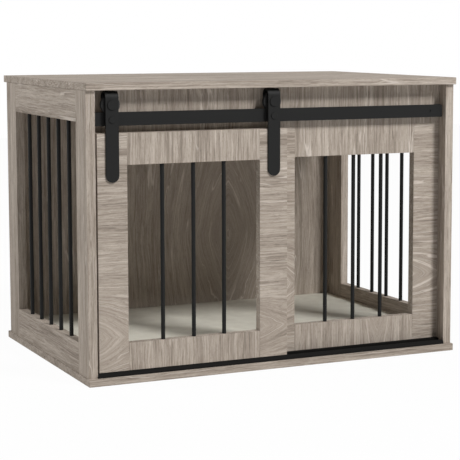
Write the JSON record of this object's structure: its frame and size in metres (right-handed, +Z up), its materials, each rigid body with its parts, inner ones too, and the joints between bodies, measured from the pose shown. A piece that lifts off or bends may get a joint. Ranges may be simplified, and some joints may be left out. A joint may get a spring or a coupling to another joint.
{
  "type": "pet crate",
  "caption": "Furniture-style pet crate: board top and base, framed side and front panels with round bars, and a barred front door that rolls sideways on a flat rail.",
  "frame": {"origin": "middle of the crate's footprint, on the ground", "axes": "+X to the right seen from the front, along the door's travel; +Y to the back; +Z up"},
  "size_m": [1, 0.673, 0.712],
  "materials": {
    "grey_oak": "matt grey oak laminate",
    "floor_laminate": "pale plain laminate",
    "beech": "bare beech",
    "black_metal": "satin black powder coat",
    "black_nylon": "satin",
    "zinc_steel": "zinc plated"
  },
  "bodies": {
    "crate": {"back_panel": "grey_oak", "back_panel_screws": "zinc_steel", "base_board": "grey_oak", "base_screws": "zinc_steel", "bottom_track": "black_metal", "bottom_track_screws": "zinc_steel", "cam_bolts": "zinc_steel", "cam_locks": "zinc_steel", "carcass_dowels": "beech", "fixed_bar_1": "black_metal", "fixed_bar_2": "black_metal", "fixed_bar_3": "black_metal", "fixed_bottom_rail": "grey_oak", "fixed_left_stile": "grey_oak", "fixed_right_stile": "grey_oak", "fixed_top_rail": "grey_oak", "floor_battens": "grey_oak", "floor_panel": "floor_laminate", "front_header": "grey_oak", "left_back_stile": "grey_oak", "left_bar_1": "black_metal", "left_bar_2": "black_metal", "left_bar_3": "black_metal", "left_bar_4": "black_metal", "left_bar_5": "black_metal", "left_bottom_rail": "grey_oak", "left_front_stile": "grey_oak", "left_top_rail": "grey_oak", "right_back_stile": "grey_oak", "right_bar_1": "black_metal", "right_bar_2": "black_metal", "right_bar_3": "black_metal", "right_bar_4": "black_metal", "right_bar_5": "black_metal", "right_bottom_rail": "grey_oak", "right_front_stile": "grey_oak", "right_top_rail": "grey_oak", "top_board": "grey_oak", "track_rail": "black_metal", "track_screws": "black_metal", "track_standoffs": "black_metal"},
    "door": {"door_bar_1": "black_metal", "door_bar_2": "black_metal", "door_bar_3": "black_metal", "door_bottom_rail": "grey_oak", "door_dowels": "beech", "door_guides": "black_nylon", "door_left_stile": "grey_oak", "door_right_stile": "grey_oak", "door_top_rail": "grey_oak", "left_hanger": "black_metal", "right_hanger": "black_metal", "left_axle_bolt": "black_metal", "right_axle_bolt": "black_metal", "axle_nuts": "black_metal", "hanger_rivets": "black_metal", "hanger_screws": "zinc_steel"},
    "left_roller": {"left_roller": "black_nylon"},
    "right_roller": {"right_roller": "black_nylon"}
  },
  "joints": [
    {"name": "door_slide", "type": "slide", "parent": "crate", "child": "door", "axis": [1, 0, 0], "range_m": [0, 0.45]},
    {"name": "left_roller_turn", "type": "hinge", "parent": "door", "child": "left_roller", "pos_m": [-0.434, -0.3145, 0.6598], "axis": [0, 1, 0], "continuous": true},
    {"name": "right_roller_turn", "type": "hinge", "parent": "door", "child": "right_roller", "pos_m": [-0.01675, -0.3145, 0.6598], "axis": [0, 1, 0], "continuous": true}
  ],
  "couplings": [
    {"joint": "left_roller_turn", "follows": "door_slide", "rad_per_m": 58.824},
    {"joint": "right_roller_turn", "follows": "door_slide", "rad_per_m": 58.824}
  ]
}
